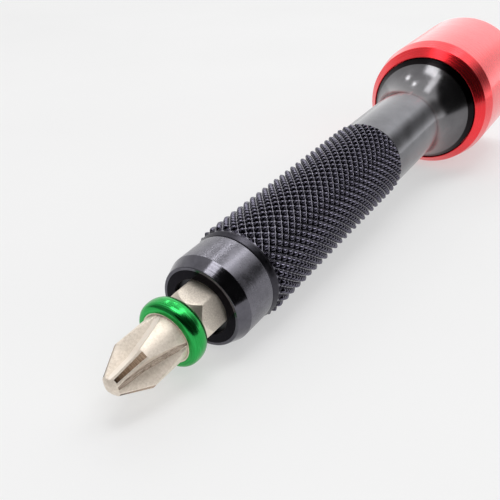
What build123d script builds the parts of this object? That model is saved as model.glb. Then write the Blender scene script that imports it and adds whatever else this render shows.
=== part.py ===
from build123d import *
from math import atan, cos, radians, sin, tan
import os

# Hand driver in the form of a pin vise, all sizes in millimetres.
# The tool lies along X: the bit points to -X, the palm knob is at +X, and Z is up.
# The origin is on the tool's axis, in the plane of the nose collar's front face.

# ---------------------------------------------------------------- driving sizes

HEX_AF = 6.35                 # quarter-inch hex across flats
CORNER_AZIMUTH = 10.0         # one hex corner, measured from +Y towards +Z
WING_AZIMUTH = 126.0          # one of the four wings of the cross point

# bit
BIT_TIP_X = -15.5
BIT_TIP_R = 0.50
BIT_RIM_X = -15.07              # where the blunt end meets the cone
BIT_RIM_R = 1.27
BIT_CONE_END_X = -11.5
BIT_R = 3.08
BIT_SHOULDER_X = -3.3
BIT_HEX_FULL_X = -2.2
BIT_END_X = 9.5
BIT_END_CHAMFER = 0.55
FLUTE_HALF_ANGLE = 46.0
FLUTE_BOTTOM_R = 0.85           # radius of the flute's rounded bottom
FLUTE_TIP_R = 0.55              # where the flute's two flanks would meet, at the tip
FLUTE_TIP_SLOPE = 5.75
FLUTE_RAMP_X = -13.0
FLUTE_RAMP_SLOPE = 17.7

# colour ring on the bit
RING_FRONT_X = -6.4
RING_BACK_X = -3.6
RING_BORE_R = 3.10
RING_LIP_R = 3.30
RING_R = 4.35
RING_CREST_X = -5.15
RING_FRONT_FULLNESS = 0.75
RING_BACK_FULLNESS = 0.55

# nose collar and what is under it
COLLAR_FACE_R = 5.45
COLLAR_R = 6.10
COLLAR_CHAMFER_X = 1.8
COLLAR_BACK_X = 6.55
COLLAR_TRAVEL = 1.2
MOUTH_R = 3.80
FACE_RING_R = 5.05
FACE_RING_X = 0.6
SNAP_RING_X = 1.0
SNAP_RING_T = 0.35
SNAP_RING_R = 4.98
SNAP_RING_GROOVE = 0.25
SNAP_RING_GAP_W = 2.4
SPRING_WIRE_R = 0.125
SPRING_R = 4.80
SPRING_TURNS = 2.5
RIB_FRONT_X = 3.5
RIB_BACK_X = 4.0
RIB_R = 4.60
LAND_R = 4.95
BALL_R = 0.60
BALL_X = 4.85
BALL_CENTRE_R = 4.30
BALL_TRAVEL = 0.35
RELIEF_R = 5.33

# hex socket
SOCKET_FRONT_X = 0.70
SOCKET_NECK_R = 4.55
SOCKET_STEP_X = 4.05
SOCKET_R = 4.90
SOCKET_BACK_X = 20.0
SOCKET_CHAMFER = 0.5
SOCKET_HEX_AF = HEX_AF + 0.10
MAGNET_R = 2.60
MAGNET_FRONT_X = 9.55
MAGNET_BACK_X = 12.3

# grip barrel
BARREL_FRONT_X = 6.6
BARREL_FRONT_R = 6.05
BEVEL_BACK_X = 7.9
BEVEL_BACK_R = 6.45
KNURL_FRONT_X = 8.1
KNURL_BACK_X = 45.2
KNURL_R = 6.70
NECK_R = 6.27
NECK_BACK_X = 61.8
BARREL_BORE_R = 3.0
BARREL_SPIGOT_R = 4.6
BARREL_SPIGOT_X = 66.0
THREAD_FRONT_X = 52.0
THREAD_R = 2.5

# bell between the neck and the knob
BELL_BACK_X = 71.2
BELL_R = 9.75
BELL_RIM_T = 0.9
BELL_HUB_R = 4.4
BELL_HUB_X = 73.0

# palm knob
PALM_FRONT_X = 71.25
PALM_MOUTH_R = 9.90
PALM_BEVEL_X = 72.9
PALM_BEVEL_R = 11.39
PALM_EDGE_X = 75.5
PALM_R = 11.95
PALM_BACK_X = 95.2
PALM_BACK_EDGE = 1.4
PALM_CAVITY_X = 72.9
CAP_SEAT_X = 91.6
CAP_SEAT_R = 8.60
CAP_R = 8.55
CAP_SKIRT_R = 7.00
CAP_SKIRT_T = 1.3
CAP_FLANGE_X = 93.6
CAP_DISH_R = 5.5
CAP_DISH_DEPTH = 0.35

# ball bearings, 6 x 13 x 5
BEARING_BORE_R = 3.0
BEARING_R = 6.5
BEARING_W = 5.0
INNER_LAND_R = 4.10
OUTER_LAND_R = 5.40
PITCH_R = 4.75
BEARING_BALL_R = 1.0
BEARING_BALLS = 8
GROOVE_GAP = 0.05
CAGE_IN_R = 4.35
CAGE_OUT_R = 5.15
CAGE_HALF_W = 1.35
POCKET_R = 1.06
SHIELD_T = 0.25
SHIELD_IN_R = 4.20
SHIELD_OUT_R = 5.85
FRONT_BEARING_X = 73.0
BACK_BEARING_X = 85.0
SPINDLE_R = 3.0
SPINDLE_BACK_X = 90.0
WASHER_R = 4.4
WASHER_T = 0.5
SCREW_R = 1.5
SCREW_HEAD_R = 2.9
SCREW_HEAD_T = 1.6
SCREW_TIP_X = 80.0
SCREW_KEY_AF = 2.0
CIRCLIP_T = 0.6
CIRCLIP_R = 6.9
CIRCLIP_IN_R = 5.7
CIRCLIP_GAP_W = 3.0
O_RING_WIRE_R = 0.36
O_RING_X = 92.7
O_RING_GROOVE_R = 6.30
O_RING_GROOVE_HALF_W = 0.40

FIT = 0.05                    # running clearance on a radius
PRESS = 0.01                  # gap left between faces that touch


# ---------------------------------------------------------------- helpers

def turned(points):
    """A solid turned about the tool's axis from a closed outline of (x, r) points."""
    outline = Plane.XZ * make_face(Polyline(*points, close=True))
    return revolve(outline, Axis.X)


def tube(front_x, back_x, inner_r, outer_r):
    return turned([(front_x, inner_r), (back_x, inner_r), (back_x, outer_r), (front_x, outer_r)])


def rod(front_x, back_x, radius):
    return tube(front_x, back_x, 0, radius)


def torus_at(x, major_r, minor_r):
    return Pos(x, 0, 0) * Rot(Y=90) * Torus(major_r, minor_r)


def hex_prism(across_flats, front_x, back_x):
    """A hexagonal bar with one corner at CORNER_AZIMUTH."""
    outline = RegularPolygon(across_flats / 2, 6, major_radius=False, rotation=CORNER_AZIMUTH)
    return extrude(Plane.YZ.offset(front_x) * outline, amount=back_x - front_x)


def around(azimuth, radius):
    """The Y and Z of a point at an azimuth, counted from +Y towards +Z."""
    return radius * cos(radians(azimuth)), radius * sin(radians(azimuth))


# ---------------------------------------------------------------- bit

def flute_wedge(start_x, start_r, slope):
    """A long V-shaped wedge with a round bottom. Its flanks would meet at (start_x, start_r) and climb to +X."""
    height = 12.0
    reach = 14.0
    half_angle = radians(FLUTE_HALF_ANGLE)
    half_width = height * tan(half_angle)
    round_side = FLUTE_BOTTOM_R * cos(half_angle)
    round_height = round_side / tan(half_angle)
    round_bottom = FLUTE_BOTTOM_R * (1 / sin(half_angle) - 1)
    section = make_face([
        Line((round_side, round_height), (half_width, height)),
        Line((half_width, height), (-half_width, height)),
        Line((-half_width, height), (-round_side, round_height)),
        ThreePointArc((-round_side, round_height), (0, round_bottom), (round_side, round_height)),
    ])
    wedge = extrude(Plane.YZ.offset(-reach) * section, amount=2 * reach)
    return Pos(start_x, 0, start_r) * Rot(Y=-slope) * wedge


def phillips_bit():
    shank = turned([
        (BIT_TIP_X, 0),
        (BIT_TIP_X, BIT_TIP_R),
        (BIT_RIM_X, BIT_RIM_R),
        (BIT_CONE_END_X, BIT_R),
        (BIT_SHOULDER_X + 0.01, BIT_R),
        (BIT_SHOULDER_X + 0.01, 0),
    ])
    corner_r = HEX_AF / 2 / cos(radians(30))
    blank = turned([
        (BIT_SHOULDER_X, 0),
        (BIT_SHOULDER_X, BIT_R),
        (BIT_HEX_FULL_X, corner_r),
        (BIT_END_X - BIT_END_CHAMFER, corner_r),
        (BIT_END_X, corner_r - BIT_END_CHAMFER),
        (BIT_END_X, 0),
    ])
    bit = shank + (blank & hex_prism(HEX_AF, BIT_SHOULDER_X, BIT_END_X))
    cutter = flute_wedge(BIT_TIP_X, FLUTE_TIP_R, FLUTE_TIP_SLOPE)
    cutter = cutter & flute_wedge(FLUTE_RAMP_X, FLUTE_TIP_R, FLUTE_RAMP_SLOPE)
    for quarter in range(4):
        turn = WING_AZIMUTH + 45 + 90 * quarter - 90
        bit = bit - Rot(X=turn) * cutter
    return bit


def bit_ring():
    """A turned ring whose crest lies nearer its front, with a full front and a longer fall behind."""
    rise = RING_R - RING_LIP_R
    front = RING_CREST_X - RING_FRONT_X
    back = RING_BACK_X - RING_CREST_X
    outline = [
        Line((RING_BACK_X, RING_LIP_R), (RING_BACK_X, RING_BORE_R)),
        Line((RING_BACK_X, RING_BORE_R), (RING_FRONT_X, RING_BORE_R)),
        Line((RING_FRONT_X, RING_BORE_R), (RING_FRONT_X, RING_LIP_R)),
        Bezier(
            (RING_FRONT_X, RING_LIP_R),
            (RING_FRONT_X, RING_LIP_R + RING_FRONT_FULLNESS * rise),
            (RING_CREST_X - RING_FRONT_FULLNESS * front, RING_R),
            (RING_CREST_X, RING_R),
        ),
        Bezier(
            (RING_CREST_X, RING_R),
            (RING_CREST_X + RING_BACK_FULLNESS * back, RING_R),
            (RING_BACK_X, RING_LIP_R + RING_BACK_FULLNESS * rise),
            (RING_BACK_X, RING_LIP_R),
        ),
    ]
    return revolve(Plane.XZ * make_face(outline), Axis.X)


# ---------------------------------------------------------------- nose

def nose_collar():
    ramp_end_x = BALL_X + COLLAR_TRAVEL + 0.05
    return turned([
        (0, FACE_RING_R + PRESS),
        (RIB_FRONT_X, FACE_RING_R + PRESS),
        (RIB_FRONT_X, RIB_R),
        (RIB_BACK_X, RIB_R),
        (RIB_BACK_X, LAND_R),
        (BALL_X, LAND_R),
        (ramp_end_x, RELIEF_R),
        (COLLAR_BACK_X, RELIEF_R),
        (COLLAR_BACK_X, COLLAR_R - 0.1),
        (COLLAR_BACK_X - 0.1, COLLAR_R),
        (COLLAR_CHAMFER_X, COLLAR_R),
        (0, COLLAR_FACE_R),
    ])


def nose_face_ring():
    return tube(0, FACE_RING_X, MOUTH_R, FACE_RING_R)


def collar_snap_ring():
    back_x = SNAP_RING_X + SNAP_RING_T
    ring = tube(SNAP_RING_X, back_x, SOCKET_NECK_R - SNAP_RING_GROOVE, SNAP_RING_R)
    gap = Box(2 * SNAP_RING_T, SNAP_RING_GAP_W, SNAP_RING_R)
    return ring - Pos(SNAP_RING_X + SNAP_RING_T / 2, 0, -SNAP_RING_R) * gap


def collar_spring():
    front_x = SNAP_RING_X + SNAP_RING_T + SPRING_WIRE_R + 0.02
    back_x = RIB_FRONT_X - SPRING_WIRE_R - 0.02
    length = back_x - front_x
    path = Helix(pitch=length / SPRING_TURNS, height=length, radius=SPRING_R)
    start = Plane(origin=path @ 0, z_dir=path % 0)
    wire = sweep(start * Circle(SPRING_WIRE_R), path=path)
    return Pos(front_x, 0, 0) * Rot(Y=90) * wire


def lock_ball(azimuth):
    y, z = around(azimuth, BALL_CENTRE_R)
    return Pos(BALL_X, y, z) * Sphere(BALL_R)


def hex_socket():
    groove_front_x = SNAP_RING_X - PRESS
    groove_back_x = SNAP_RING_X + SNAP_RING_T + PRESS
    groove_r = SOCKET_NECK_R - SNAP_RING_GROOVE - PRESS
    body = turned([
        (SOCKET_FRONT_X, 0),
        (SOCKET_FRONT_X, SOCKET_NECK_R),
        (groove_front_x, SOCKET_NECK_R),
        (groove_front_x, groove_r),
        (groove_back_x, groove_r),
        (groove_back_x, SOCKET_NECK_R),
        (SOCKET_STEP_X, SOCKET_NECK_R),
        (SOCKET_STEP_X, SOCKET_R),
        (SOCKET_BACK_X - SOCKET_CHAMFER, SOCKET_R),
        (SOCKET_BACK_X, SOCKET_R - SOCKET_CHAMFER),
        (SOCKET_BACK_X, 0),
    ])
    body = body - hex_prism(SOCKET_HEX_AF, SOCKET_FRONT_X - 1, MAGNET_FRONT_X)
    body = body - rod(MAGNET_FRONT_X - 0.5, MAGNET_BACK_X + PRESS, MAGNET_R + PRESS)
    window = extrude(Plane.YZ * Circle(BALL_R + 0.03), amount=SOCKET_R + 1)
    for azimuth in (CORNER_AZIMUTH, CORNER_AZIMUTH + 180):
        body = body - Pos(BALL_X, 0, 0) * Rot(X=azimuth) * Rot(Z=90) * window
    return body


def socket_magnet():
    return rod(MAGNET_FRONT_X + PRESS, MAGNET_BACK_X, MAGNET_R)


# ---------------------------------------------------------------- barrel and bell

def grip_barrel():
    bore_r = SOCKET_R + PRESS
    return turned([
        (BARREL_FRONT_X, bore_r),
        (SOCKET_BACK_X + PRESS, bore_r),
        (SOCKET_BACK_X + PRESS, BARREL_BORE_R),
        (THREAD_FRONT_X, BARREL_BORE_R),
        (THREAD_FRONT_X, THREAD_R + PRESS),
        (BARREL_SPIGOT_X, THREAD_R + PRESS),
        (BARREL_SPIGOT_X, BARREL_SPIGOT_R),
        (NECK_BACK_X, BARREL_SPIGOT_R),
        (NECK_BACK_X, NECK_R),
        (KNURL_BACK_X + 0.3, NECK_R),
        (KNURL_BACK_X, KNURL_R - 0.15),
        (KNURL_BACK_X - 0.3, KNURL_R),
        (KNURL_FRONT_X, KNURL_R),
        (KNURL_FRONT_X, BEVEL_BACK_R),
        (BEVEL_BACK_X, BEVEL_BACK_R),
        (BARREL_FRONT_X, BARREL_FRONT_R),
    ])


def bell_flare():
    front_x = NECK_BACK_X + PRESS
    spigot_back_x = BARREL_SPIGOT_X + PRESS
    run = BELL_BACK_X - front_x
    rise = BELL_R - NECK_R
    flare_r = (run ** 2 + rise ** 2) / (2 * rise)
    half_turn = atan(rise / run)
    mid = (front_x + flare_r * sin(half_turn), NECK_R + flare_r * (1 - cos(half_turn)))
    outline = [
        ThreePointArc((front_x, NECK_R), mid, (BELL_BACK_X, BELL_R)),
        Polyline(
            (BELL_BACK_X, BELL_R),
            (BELL_BACK_X + BELL_RIM_T, BELL_R),
            (BELL_BACK_X + BELL_RIM_T, BELL_HUB_R),
            (BELL_HUB_X, BELL_HUB_R),
            (BELL_HUB_X, SPINDLE_R + PRESS),
            (spigot_back_x, SPINDLE_R + PRESS),
            (spigot_back_x, BARREL_SPIGOT_R + PRESS),
            (front_x, BARREL_SPIGOT_R + PRESS),
            (front_x, NECK_R),
        ),
    ]
    return revolve(Plane.XZ * make_face(outline), Axis.X)


def palm_spindle():
    shoulder_x = BARREL_SPIGOT_X + PRESS
    return turned([
        (THREAD_FRONT_X + 1, 0),
        (THREAD_FRONT_X + 1, THREAD_R),
        (shoulder_x, THREAD_R),
        (shoulder_x, SPINDLE_R),
        (SPINDLE_BACK_X, SPINDLE_R),
        (SPINDLE_BACK_X, SCREW_R + PRESS),
        (SCREW_TIP_X - 1, SCREW_R + PRESS),
        (SCREW_TIP_X - 1, 0),
    ])


def race_spacer():
    front_x = FRONT_BEARING_X + BEARING_W + PRESS
    return tube(front_x, BACK_BEARING_X - PRESS, SPINDLE_R + PRESS, INNER_LAND_R - 0.1)


def spindle_washer():
    front_x = SPINDLE_BACK_X + PRESS
    return tube(front_x, front_x + WASHER_T, SCREW_R + 0.1, WASHER_R)


def spindle_screw():
    seat_x = SPINDLE_BACK_X + WASHER_T + 2 * PRESS
    screw = rod(SCREW_TIP_X, seat_x + 0.1, SCREW_R)
    screw = screw + rod(seat_x, seat_x + SCREW_HEAD_T, SCREW_HEAD_R)
    key = hex_prism(SCREW_KEY_AF, seat_x + 0.6, seat_x + SCREW_HEAD_T + 1)
    return screw - key


# ---------------------------------------------------------------- bearings

def inner_race(front_x):
    race = tube(front_x, front_x + BEARING_W, BEARING_BORE_R + PRESS, INNER_LAND_R)
    return race - torus_at(front_x + BEARING_W / 2, PITCH_R, BEARING_BALL_R + GROOVE_GAP)


def outer_race(front_x):
    """The outer race, with a shallow recess at each side for its shield."""
    race = tube(front_x, front_x + BEARING_W, OUTER_LAND_R, BEARING_R - PRESS)
    race = race - torus_at(front_x + BEARING_W / 2, PITCH_R, BEARING_BALL_R + GROOVE_GAP)
    for side_x in (front_x, front_x + BEARING_W - SHIELD_T - 0.05):
        recess = tube(side_x, side_x + SHIELD_T + 0.05, 0.1, SHIELD_OUT_R + PRESS)
        race = race - recess
    return race


def bearing_balls(front_x):
    """The balls of one bearing, as separate solids."""
    balls = []
    for number in range(BEARING_BALLS):
        y, z = around(360 * number / BEARING_BALLS, PITCH_R)
        balls.append(Pos(front_x + BEARING_W / 2, y, z) * Sphere(BEARING_BALL_R))
    return Compound(balls)


def bearing_cage(front_x):
    mid_x = front_x + BEARING_W / 2
    cage = tube(mid_x - CAGE_HALF_W, mid_x + CAGE_HALF_W, CAGE_IN_R, CAGE_OUT_R)
    pocket = extrude(Plane.XY * Circle(POCKET_R), amount=BEARING_R)
    for number in range(BEARING_BALLS):
        turn = 360 * number / BEARING_BALLS - 90
        cage = cage - Pos(mid_x, 0, 0) * Rot(X=turn) * pocket
    return cage


def bearing_shields(front_x):
    """The two thin shields of one bearing, held by the outer race."""
    back_x = front_x + BEARING_W
    front = tube(front_x + 0.02, front_x + 0.02 + SHIELD_T, SHIELD_IN_R, SHIELD_OUT_R)
    back = tube(back_x - 0.02 - SHIELD_T, back_x - 0.02, SHIELD_IN_R, SHIELD_OUT_R)
    return Compound([front, back])


# ---------------------------------------------------------------- palm knob

def palm_shell():
    front_back_x = FRONT_BEARING_X + BEARING_W
    clip_front_x = BACK_BEARING_X + BEARING_W + 0.02
    clip_back_x = clip_front_x + CIRCLIP_T + 0.02
    return turned([
        (PALM_FRONT_X, PALM_MOUTH_R),
        (PALM_CAVITY_X, PALM_MOUTH_R),
        (PALM_CAVITY_X, BEARING_R),
        (front_back_x + PRESS, BEARING_R),
        (front_back_x + PRESS, OUTER_LAND_R),
        (BACK_BEARING_X - PRESS, OUTER_LAND_R),
        (BACK_BEARING_X - PRESS, BEARING_R),
        (clip_front_x, BEARING_R),
        (clip_front_x, CIRCLIP_R + PRESS),
        (clip_back_x, CIRCLIP_R + PRESS),
        (clip_back_x, BEARING_R),
        (CAP_SEAT_X - 0.5, BEARING_R),
        (CAP_SEAT_X - 0.5, CAP_SKIRT_R + FIT),
        (CAP_FLANGE_X, CAP_SKIRT_R + FIT),
        (CAP_FLANGE_X, CAP_SEAT_R),
        (PALM_BACK_X, CAP_SEAT_R),
        (PALM_BACK_X, PALM_R - PALM_BACK_EDGE),
        (PALM_BACK_X - 0.25 * PALM_BACK_EDGE, PALM_R - 0.3 * PALM_BACK_EDGE),
        (PALM_BACK_X - PALM_BACK_EDGE, PALM_R),
        (PALM_EDGE_X, PALM_R),
        (PALM_BEVEL_X, PALM_BEVEL_R),
        (PALM_FRONT_X, PALM_MOUTH_R + 0.1),
    ])


def bearing_circlip():
    front_x = BACK_BEARING_X + BEARING_W + 0.03
    clip = tube(front_x, front_x + CIRCLIP_T, CIRCLIP_IN_R, CIRCLIP_R)
    gap = Pos(front_x + CIRCLIP_T / 2, 0, -CIRCLIP_R) * Box(2 * CIRCLIP_T, CIRCLIP_GAP_W, 4)
    return clip - gap


def palm_end_cap():
    return turned([
        (CAP_SEAT_X, CAP_SKIRT_R - CAP_SKIRT_T),
        (CAP_SEAT_X, CAP_SKIRT_R),
        (O_RING_X - O_RING_GROOVE_HALF_W, CAP_SKIRT_R),
        (O_RING_X - O_RING_GROOVE_HALF_W, O_RING_GROOVE_R),
        (O_RING_X + O_RING_GROOVE_HALF_W, O_RING_GROOVE_R),
        (O_RING_X + O_RING_GROOVE_HALF_W, CAP_SKIRT_R),
        (CAP_FLANGE_X + PRESS, CAP_SKIRT_R),
        (CAP_FLANGE_X + PRESS, CAP_R),
        (PALM_BACK_X - 0.2, CAP_R),
        (PALM_BACK_X, CAP_R - 0.2),
        (PALM_BACK_X, CAP_DISH_R),
        (PALM_BACK_X - CAP_DISH_DEPTH, CAP_DISH_R - 0.4),
        (PALM_BACK_X - CAP_DISH_DEPTH, 0),
        (CAP_FLANGE_X, 0),
        (CAP_FLANGE_X, CAP_SKIRT_R - CAP_SKIRT_T),
    ])


def cap_o_ring():
    return torus_at(O_RING_X, O_RING_GROOVE_R + PRESS + O_RING_WIRE_R, O_RING_WIRE_R)


# ---------------------------------------------------------------- files

def all_parts():
    parts = {
        "phillips_bit": phillips_bit(),
        "bit_ring": bit_ring(),
        "nose_collar": nose_collar(),
        "nose_face_ring": nose_face_ring(),
        "collar_snap_ring": collar_snap_ring(),
        "collar_spring": collar_spring(),
        "lock_ball_right": lock_ball(CORNER_AZIMUTH),
        "lock_ball_left": lock_ball(CORNER_AZIMUTH + 180),
        "hex_socket": hex_socket(),
        "socket_magnet": socket_magnet(),
        "grip_barrel": grip_barrel(),
        "bell_flare": bell_flare(),
        "palm_spindle": palm_spindle(),
        "race_spacer": race_spacer(),
        "spindle_washer": spindle_washer(),
        "spindle_screw": spindle_screw(),
        "palm_shell": palm_shell(),
        "bearing_circlip": bearing_circlip(),
        "palm_end_cap": palm_end_cap(),
        "cap_o_ring": cap_o_ring(),
    }
    for place, front_x in (("front", FRONT_BEARING_X), ("back", BACK_BEARING_X)):
        parts[f"{place}_inner_race"] = inner_race(front_x)
        parts[f"{place}_outer_race"] = outer_race(front_x)
        parts[f"{place}_bearing_balls"] = bearing_balls(front_x)
        parts[f"{place}_bearing_cage"] = bearing_cage(front_x)
        parts[f"{place}_bearing_shields"] = bearing_shields(front_x)
    return parts


os.makedirs("parts", exist_ok=True)
for name, shape in all_parts().items():
    export_step(shape, f"parts/{name}.step")
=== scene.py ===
"""Looks for the hand driver in pin vise form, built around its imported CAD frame.

The tool lies along X with the bit towards -X. Outlines are in millimetres, as (x, r) about the tool's axis.
"""
from math import atan2, cos, pi, radians, sin, sqrt, tan

import bmesh
import bpy
import numpy as np
from mathutils import Matrix, Vector


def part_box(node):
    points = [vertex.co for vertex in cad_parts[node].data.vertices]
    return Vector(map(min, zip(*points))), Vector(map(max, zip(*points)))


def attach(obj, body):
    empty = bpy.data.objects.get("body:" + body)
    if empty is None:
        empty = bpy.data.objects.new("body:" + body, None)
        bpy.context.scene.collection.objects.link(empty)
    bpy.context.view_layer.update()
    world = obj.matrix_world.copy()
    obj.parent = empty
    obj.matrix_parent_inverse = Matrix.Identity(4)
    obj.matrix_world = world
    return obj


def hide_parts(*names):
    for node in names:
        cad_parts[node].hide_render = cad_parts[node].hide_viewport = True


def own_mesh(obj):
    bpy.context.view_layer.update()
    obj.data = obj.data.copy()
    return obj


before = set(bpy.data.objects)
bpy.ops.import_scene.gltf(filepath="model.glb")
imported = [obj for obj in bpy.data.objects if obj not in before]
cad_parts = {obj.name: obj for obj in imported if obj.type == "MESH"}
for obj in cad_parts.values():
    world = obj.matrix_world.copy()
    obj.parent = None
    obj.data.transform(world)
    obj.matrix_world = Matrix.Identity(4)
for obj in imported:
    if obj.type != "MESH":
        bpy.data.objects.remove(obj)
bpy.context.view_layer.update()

MM = 0.001

# ---------------------------------------------------------------- sizes from the frame, in millimetres


def x_range(node):
    """Where a CAD node starts and ends along the tool's axis."""
    low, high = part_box(node)
    return low.x / MM, high.x / MM


def radius_of(node):
    """The largest radius of a CAD node about the tool's axis."""
    return max(sqrt(v.co.y ** 2 + v.co.z ** 2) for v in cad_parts[node].data.vertices) / MM


BIT_TIP_X, BIT_END_X = x_range("phillips_bit")
RING_FRONT_X, RING_BACK_X = x_range("bit_ring")
RING_R = radius_of("bit_ring")
COLLAR_BACK_X = x_range("nose_collar")[1]
COLLAR_R = radius_of("nose_collar")
SNAP_RING_BACK_X = x_range("collar_snap_ring")[1]
FACE_RING_R = radius_of("nose_face_ring")
FACE_RING_X = x_range("nose_face_ring")[1]
BARREL_FRONT_X, BARREL_BACK_X = x_range("grip_barrel")
KNURL_R = radius_of("grip_barrel")
BELL_FRONT_X, BELL_HUB_X = x_range("bell_flare")
BELL_R = radius_of("bell_flare")
PALM_FRONT_X, PALM_BACK_X = x_range("palm_shell")
PALM_R = radius_of("palm_shell")
CAP_R = radius_of("palm_end_cap")
CAP_FRONT_X = x_range("palm_end_cap")[0]

# The frame doesn't state the sizes from here on. First those of the bit and its ring.
BIT_R = 3.08
BIT_CONE_END_X = -11.5
BIT_SHOULDER_X = -3.3
HEX_AF = 6.35
HEX_CORNER_AZIMUTH = 10.0
WING_AZIMUTH = 126.0
RING_BORE_R = 3.10
RING_LIP_R = 3.30
RING_CREST_X = -5.15

# the collar, with the rib that the spring pushes and the ramp that lets the lock balls out
COLLAR_FACE_R = 5.45
COLLAR_CHAMFER_X = 1.8
MOUTH_R = 3.80
RIB_FRONT_X = 3.5
RIB_BACK_X = 4.0
RIB_R = 4.60
BALL_LAND_R = 4.95
BALL_RAMP_X = 4.85
BALL_POCKET_X = 6.1
BALL_POCKET_R = 5.33

# the collar's spring
SPRING_R = 4.80
SPRING_WIRE_R = 0.125
SPRING_TURNS = 2.5
SPRING_FRONT_X = SNAP_RING_BACK_X + SPRING_WIRE_R + 0.02
SPRING_BACK_X = RIB_FRONT_X - SPRING_WIRE_R - 0.02

# the barrel, with its bores for the socket and the spindle and its spigot in the bell
BEVEL_BACK_R = 6.32
BEVEL_FRONT_R = 6.08
BARREL_FACE_R = 5.95
KNURL_FRONT_X = 8.1
KNURL_BACK_X = 45.2
NECK_R = 6.27
NECK_BACK_X = 61.8
SOCKET_BORE_R = 4.91
SOCKET_BORE_END_X = 20.01
CORE_BORE_R = 3.0
SPINDLE_BORE_X = 52.0
SPINDLE_BORE_R = 2.51
SPIGOT_R = 4.6
SLIP = 0.01

# the bell and the boss behind it
BELL_BACK_X = 71.2
BELL_RIM_END_X = BELL_BACK_X + 0.9
SPIGOT_END_X = 66.01
BELL_BORE_R = 3.01
BELL_BOSS_R = 4.4

# the palm knob, with the seats of its two bearings and the step between them
PALM_BEVEL_X = 72.9
PALM_BEVEL_R = 11.39
PALM_EDGE_X = 75.5
PALM_MOUTH_R = 9.90
PALM_LIP_R = 10.05
BEARING_SEAT_R = 6.5
BEARING_STEP_R = 5.4
BEARING_STEP_FRONT_X = 78.01
BEARING_STEP_BACK_X = 84.99
CAP_THREAD_X = 91.1
CAP_THREAD_R = 7.05
CAP_SEAT_X = 93.6


# ---------------------------------------------------------------- turned pieces

def unit(x, y):
    """The direction of (x, y), one unit long."""
    length = sqrt(x * x + y * y)
    return x / length, y / length


def outline_samples(corners):
    """Points and outward normals along a closed outline.

    corners are (x, r, fillet radius, arc steps), counter-clockwise with x to the right and r up. Every
    corner is an arc, however small, so that each point has one normal.
    """
    samples = []
    count = len(corners)
    for i, (x, r, fillet, steps) in enumerate(corners):
        before = corners[i - 1]
        after = corners[(i + 1) % count]
        in_x, in_r = unit(x - before[0], r - before[1])
        out_x, out_r = unit(after[0] - x, after[1] - r)
        cross = in_x * out_r - in_r * out_x
        dot = in_x * out_x + in_r * out_r
        turn = atan2(cross, dot)
        reach = fillet * tan(abs(turn) / 2)
        side = 1 if turn > 0 else -1
        centre_x = x - in_x * reach - in_r * fillet * side
        centre_r = r - in_r * reach + in_x * fillet * side
        start = atan2(-in_x, in_r)
        for step in range(steps + 1):
            angle = start + turn * step / steps
            normal = (cos(angle), sin(angle))
            samples.append((
                centre_x + side * fillet * normal[0],
                centre_r + side * fillet * normal[1],
                normal[0],
                normal[1],
            ))
    return samples


def ring_positions(x, r, azimuths):
    """Points of one turned ring, where x and r are numbers or one value per azimuth."""
    ring = np.empty((len(azimuths), 3))
    ring[:, 0] = x
    ring[:, 1] = r * np.cos(azimuths)
    ring[:, 2] = r * np.sin(azimuths)
    return ring


def mesh_object(name, vertices, faces, normals=None):
    """A smooth-shaded object from points in millimetres, with its own normals where they are given."""
    mesh = bpy.data.meshes.new(name)
    mesh.from_pydata([tuple(v) for v in np.asarray(vertices) * MM], [], faces)
    mesh.shade_smooth()
    if normals is not None:
        mesh.normals_split_custom_set_from_vertices([tuple(n) for n in normals])
    made = bpy.data.objects.new(name, mesh)
    bpy.context.scene.collection.objects.link(made)
    return made


def grid_faces(rows, columns, closed_rows):
    """Quads over a grid whose columns wrap round the axis. Rows run along the outline."""
    faces = []
    for row in range(rows if closed_rows else rows - 1):
        here = row * columns
        there = (row + 1) % rows * columns
        for column in range(columns):
            beside = (column + 1) % columns
            faces.append((here + column, there + column, there + beside, here + beside))
    return faces


def capped_faces(rows, columns):
    """Faces of an open grid and of the two fans that close it, whose poles come after the grid's points."""
    faces = grid_faces(rows, columns, closed_rows=False)
    pole = rows * columns
    last_row = pole - columns
    for column in range(columns):
        beside = (column + 1) % columns
        faces.append((pole, column, beside))
        faces.append((pole + 1, last_row + beside, last_row + column))
    return faces


def turned(name, corners, segments):
    """A closed solid turned from an outline that stays off the axis."""
    samples = outline_samples(corners)
    azimuths = np.linspace(0, 2 * pi, segments, endpoint=False)
    vertices = np.concatenate([ring_positions(x, r, azimuths) for x, r, _, _ in samples])
    normals = np.concatenate([ring_positions(nx, nr, azimuths) for _, _, nx, nr in samples])
    faces = grid_faces(len(samples), segments, closed_rows=True)
    return mesh_object(name, vertices, faces, normals)


def paint(piece, rule, materials):
    """Gives each face the material whose number rule returns for the x and r of the face's centre."""
    for material in materials:
        piece.data.materials.append(material)
    for polygon in piece.data.polygons:
        centre = polygon.center / MM
        polygon.material_index = rule(centre.x, sqrt(centre.y ** 2 + centre.z ** 2))


def turned_disc(name, corners, segments):
    """A closed solid turned from an outline whose first and last corners are on the axis."""
    samples = outline_samples(corners)
    inner = []
    for x, r, nx, nr in samples:
        if r > 0.02:
            inner.append((x, r, nx, nr))
    azimuths = np.linspace(0, 2 * pi, segments, endpoint=False)
    rings = [ring_positions(x, r, azimuths) for x, r, _, _ in inner]
    directions = [ring_positions(nx, nr, azimuths) for _, _, nx, nr in inner]
    poles = [(corners[0][0], 0, 0), (corners[-1][0], 0, 0)]
    vertices = np.concatenate(rings + [np.array(poles)])
    normals = np.concatenate(directions + [np.array([(1.0, 0, 0), (-1.0, 0, 0)])])
    return mesh_object(name, vertices, capped_faces(len(inner), segments), normals)


# ---------------------------------------------------------------- bit

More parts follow.
